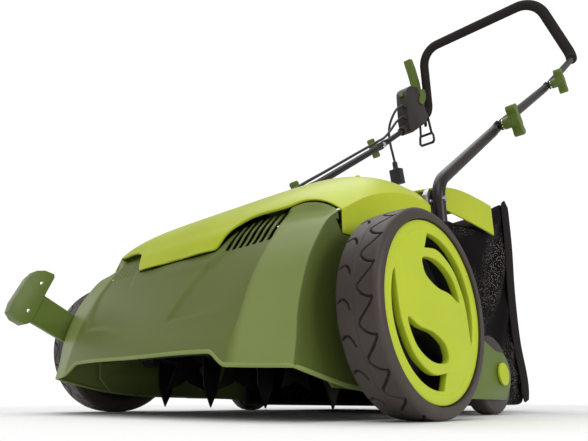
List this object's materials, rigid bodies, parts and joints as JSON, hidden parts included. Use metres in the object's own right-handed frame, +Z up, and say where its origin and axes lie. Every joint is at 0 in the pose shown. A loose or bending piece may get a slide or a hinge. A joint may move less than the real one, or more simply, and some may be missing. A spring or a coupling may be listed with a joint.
{
  "type": "lawn dethatcher",
  "caption": "Corded walk-behind lawn dethatcher with a blade reel, large front wheels, rear grass bag and folding handle.",
  "frame": {"origin": "on the ground under the middle of the overall box, measured without the loose pigtail and its plug", "axes": "+Z up, -Y forwards (the machine's nose), +Y towards the handle, +X the machine's left side"},
  "size_m": [0.5692, 1.1412, 1.0374],
  "materials": {
    "lime_plastic": "glossy, lime green",
    "olive_plastic": "satin, olive green",
    "leaf_plastic": "satin, leaf green",
    "brown_tube": "satin brown-black paint",
    "foam": "matt closed-cell foam",
    "tyre": "moulded tread, satin",
    "dark_plastic": "fine grain",
    "black_plastic": "satin black",
    "steel": "plain steel",
    "black_steel": "black coated steel",
    "chrome": "bright plated",
    "bag_cloth": "black woven and mesh cloth",
    "belt_rubber": "ribbed drive belt"
  },
  "bodies": {
    "deck": {"front_shell": "olive_plastic", "hood": "lime_plastic", "side_plate_left": "olive_plastic", "side_plate_right": "olive_plastic", "reel_baffle": "black_plastic", "rear_bracket_left": "leaf_plastic", "rear_bracket_right": "leaf_plastic", "axle_pin_left": "lime_plastic", "axle_pin_right": "lime_plastic", "bearing_left": "steel", "bearing_right": "steel", "motor_housing": "black_plastic", "motor_cradle": "steel", "drive_belt": "belt_rubber", "handle_bracket_left": "steel", "handle_bracket_right": "steel", "base_bolt_left": "chrome", "base_bolt_right": "chrome", "lower_tube_left": "brown_tube", "lower_tube_right": "brown_tube", "bolt_lower_left": "chrome", "bolt_lower_right": "chrome", "power_lead": "black_plastic"},
    "front_crank": {"crank_shaft": "steel", "crank_arm_left": "steel", "crank_arm_right": "steel", "depth_lever": "leaf_plastic"},
    "front_wheel_left": {"front_tyre_left": "tyre", "front_rim_left": "black_plastic", "hub_cover_left": "lime_plastic"},
    "front_wheel_right": {"front_tyre_right": "tyre", "front_rim_right": "black_plastic", "hub_cover_right": "lime_plastic"},
    "rear_roller_left": {"rear_wheel_left": "tyre"},
    "rear_roller_right": {"rear_wheel_right": "tyre"},
    "reel": {"reel_shaft": "steel", "blade_reel_left": "black_steel", "blade_reel_middle": "black_steel", "blade_reel_right": "black_steel", "reel_pulley": "steel"},
    "motor_rotor": {"motor_pulley": "steel"},
    "flap": {"rear_flap": "lime_plastic"},
    "grass_bag": {"bag": "bag_cloth", "bag_frame": "black_steel"},
    "middle_handle": {"middle_tube_left": "brown_tube", "middle_tube_right": "brown_tube", "bolt_upper_left": "chrome", "bolt_upper_right": "chrome"},
    "upper_handle": {"upper_loop": "brown_tube", "foam_grip": "foam", "switch_box": "dark_plastic", "pigtail": "black_plastic", "plug": "black_plastic"},
    "bail": {"bail_lever": "leaf_plastic"},
    "button": {"safety_button": "leaf_plastic"},
    "hook": {"cord_hook": "black_plastic"},
    "turn_knob_lower_left": {"knob_lower_left": "leaf_plastic"},
    "turn_knob_lower_right": {"knob_lower_right": "leaf_plastic"},
    "turn_knob_upper_left": {"knob_upper_left": "leaf_plastic"},
    "turn_knob_upper_right": {"knob_upper_right": "leaf_plastic"}
  },
  "joints": [
    {"name": "depth_adjust", "type": "hinge", "parent": "deck", "child": "front_crank", "pos_m": [0, -0.3277, 0.156], "axis": [1, 0, 0], "range_deg": [-9.5, 9.5]},
    {"name": "front_wheel_left_spin", "type": "hinge", "parent": "front_crank", "child": "front_wheel_left", "pos_m": [0.262, -0.3877, 0.095], "axis": [1, 0, 0], "continuous": true},
    {"name": "front_wheel_right_spin", "type": "hinge", "parent": "front_crank", "child": "front_wheel_right", "pos_m": [-0.262, -0.3877, 0.095], "axis": [1, 0, 0], "continuous": true},
    {"name": "rear_wheel_left_spin", "type": "hinge", "parent": "deck", "child": "rear_roller_left", "pos_m": [0.215, -0.1547, 0.047], "axis": [1, 0, 0], "continuous": true},
    {"name": "rear_wheel_right_spin", "type": "hinge", "parent": "deck", "child": "rear_roller_right", "pos_m": [-0.215, -0.1547, 0.047], "axis": [1, 0, 0], "continuous": true},
    {"name": "reel_spin", "type": "hinge", "parent": "deck", "child": "reel", "pos_m": [0, -0.3727, 0.078], "axis": [1, 0, 0], "continuous": true},
    {"name": "motor_spin", "type": "hinge", "parent": "deck", "child": "motor_rotor", "pos_m": [-0.2, -0.3577, 0.214], "axis": [1, 0, 0], "continuous": true},
    {"name": "flap_lift", "type": "hinge", "parent": "deck", "child": "flap", "pos_m": [0, -0.2132, 0.2935], "axis": [1, 0, 0], "range_deg": [0, 75]},
    {"name": "bag_pull_off", "type": "slide", "parent": "deck", "child": "grass_bag", "axis": [0, 1, 0], "range_m": [0, 0.12]},
    {"name": "handle_fold_lower", "type": "hinge", "parent": "deck", "child": "middle_handle", "pos_m": [0, -0.0047, 0.45], "axis": [1, 0, 0], "range_deg": [0, 125], "deforming": ["power_lead"]},
    {"name": "handle_fold_upper", "type": "hinge", "parent": "middle_handle", "child": "upper_handle", "pos_m": [0, 0.2973, 0.662], "axis": [1, 0, 0], "range_deg": [-125, 0], "deforming": ["power_lead"]},
    {"name": "bail_squeeze", "type": "hinge", "parent": "upper_handle", "child": "bail", "pos_m": [-0.2125, 0.5083, 0.893], "axis": [1, 0, 0], "range_deg": [-10, 0], "stiffness_Nm_per_rad": 0.6, "springref_deg": 14.32},
    {"name": "safety_button_press", "type": "slide", "parent": "upper_handle", "child": "button", "axis": [0, 1, 0], "range_m": [0, 0.004], "stiffness_N_per_m": 250, "springref_m": -0.002},
    {"name": "cord_hook_swing", "type": "hinge", "parent": "upper_handle", "child": "hook", "pos_m": [-0.2125, 0.5313, 0.8414], "axis": [0, 0.7936, 0.6084], "range_deg": [-30, 30]},
    {"name": "knob_lower_left_turn", "type": "hinge", "parent": "deck", "child": "turn_knob_lower_left", "pos_m": [0.235, -0.0047, 0.45], "axis": [1, 0, 0], "continuous": true},
    {"name": "knob_lower_right_turn", "type": "hinge", "parent": "deck", "child": "turn_knob_lower_right", "pos_m": [-0.235, -0.0047, 0.45], "axis": [1, 0, 0], "continuous": true},
    {"name": "knob_upper_left_turn", "type": "hinge", "parent": "middle_handle", "child": "turn_knob_upper_left", "pos_m": [0.235, 0.2973, 0.662], "axis": [1, 0, 0], "continuous": true},
    {"name": "knob_upper_right_turn", "type": "hinge", "parent": "middle_handle", "child": "turn_knob_upper_right", "pos_m": [-0.235, 0.2973, 0.662], "axis": [1, 0, 0], "continuous": true}
  ],
  "couplings": [
    {"joint": "motor_spin", "follows": "reel_spin", "ratio": 2.1429}
  ]
}
